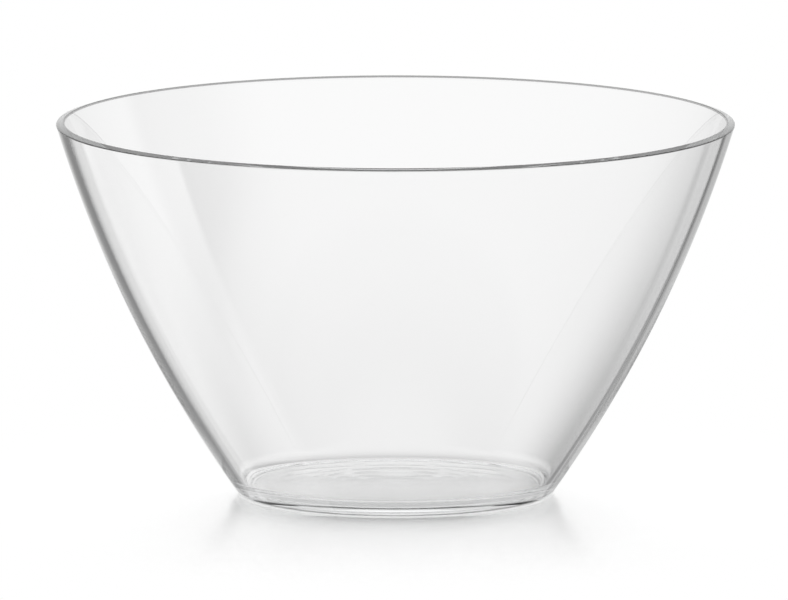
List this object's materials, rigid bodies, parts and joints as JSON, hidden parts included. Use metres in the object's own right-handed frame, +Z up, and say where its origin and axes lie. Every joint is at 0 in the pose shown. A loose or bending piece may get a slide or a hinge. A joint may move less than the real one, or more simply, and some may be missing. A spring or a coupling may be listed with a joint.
{
  "type": "glass bowl",
  "caption": "Deep round serving bowl of clear pressed glass, with a flared, slightly bowed wall, a polished rim whose face falls a little outwards, and a small flat base.",
  "frame": {"origin": "centre of the base, on the plane that the bowl stands on", "axes": "+Z up along the axis of the bowl; the bowl is round, so X and Y are free"},
  "size_m": [0.28, 0.28, 0.155],
  "materials": {
    "clear_glass": "clear and fire-polished, smooth all over"
  },
  "bodies": {
    "root": {"bowl": "clear_glass"}
  },
  "joints": []
}
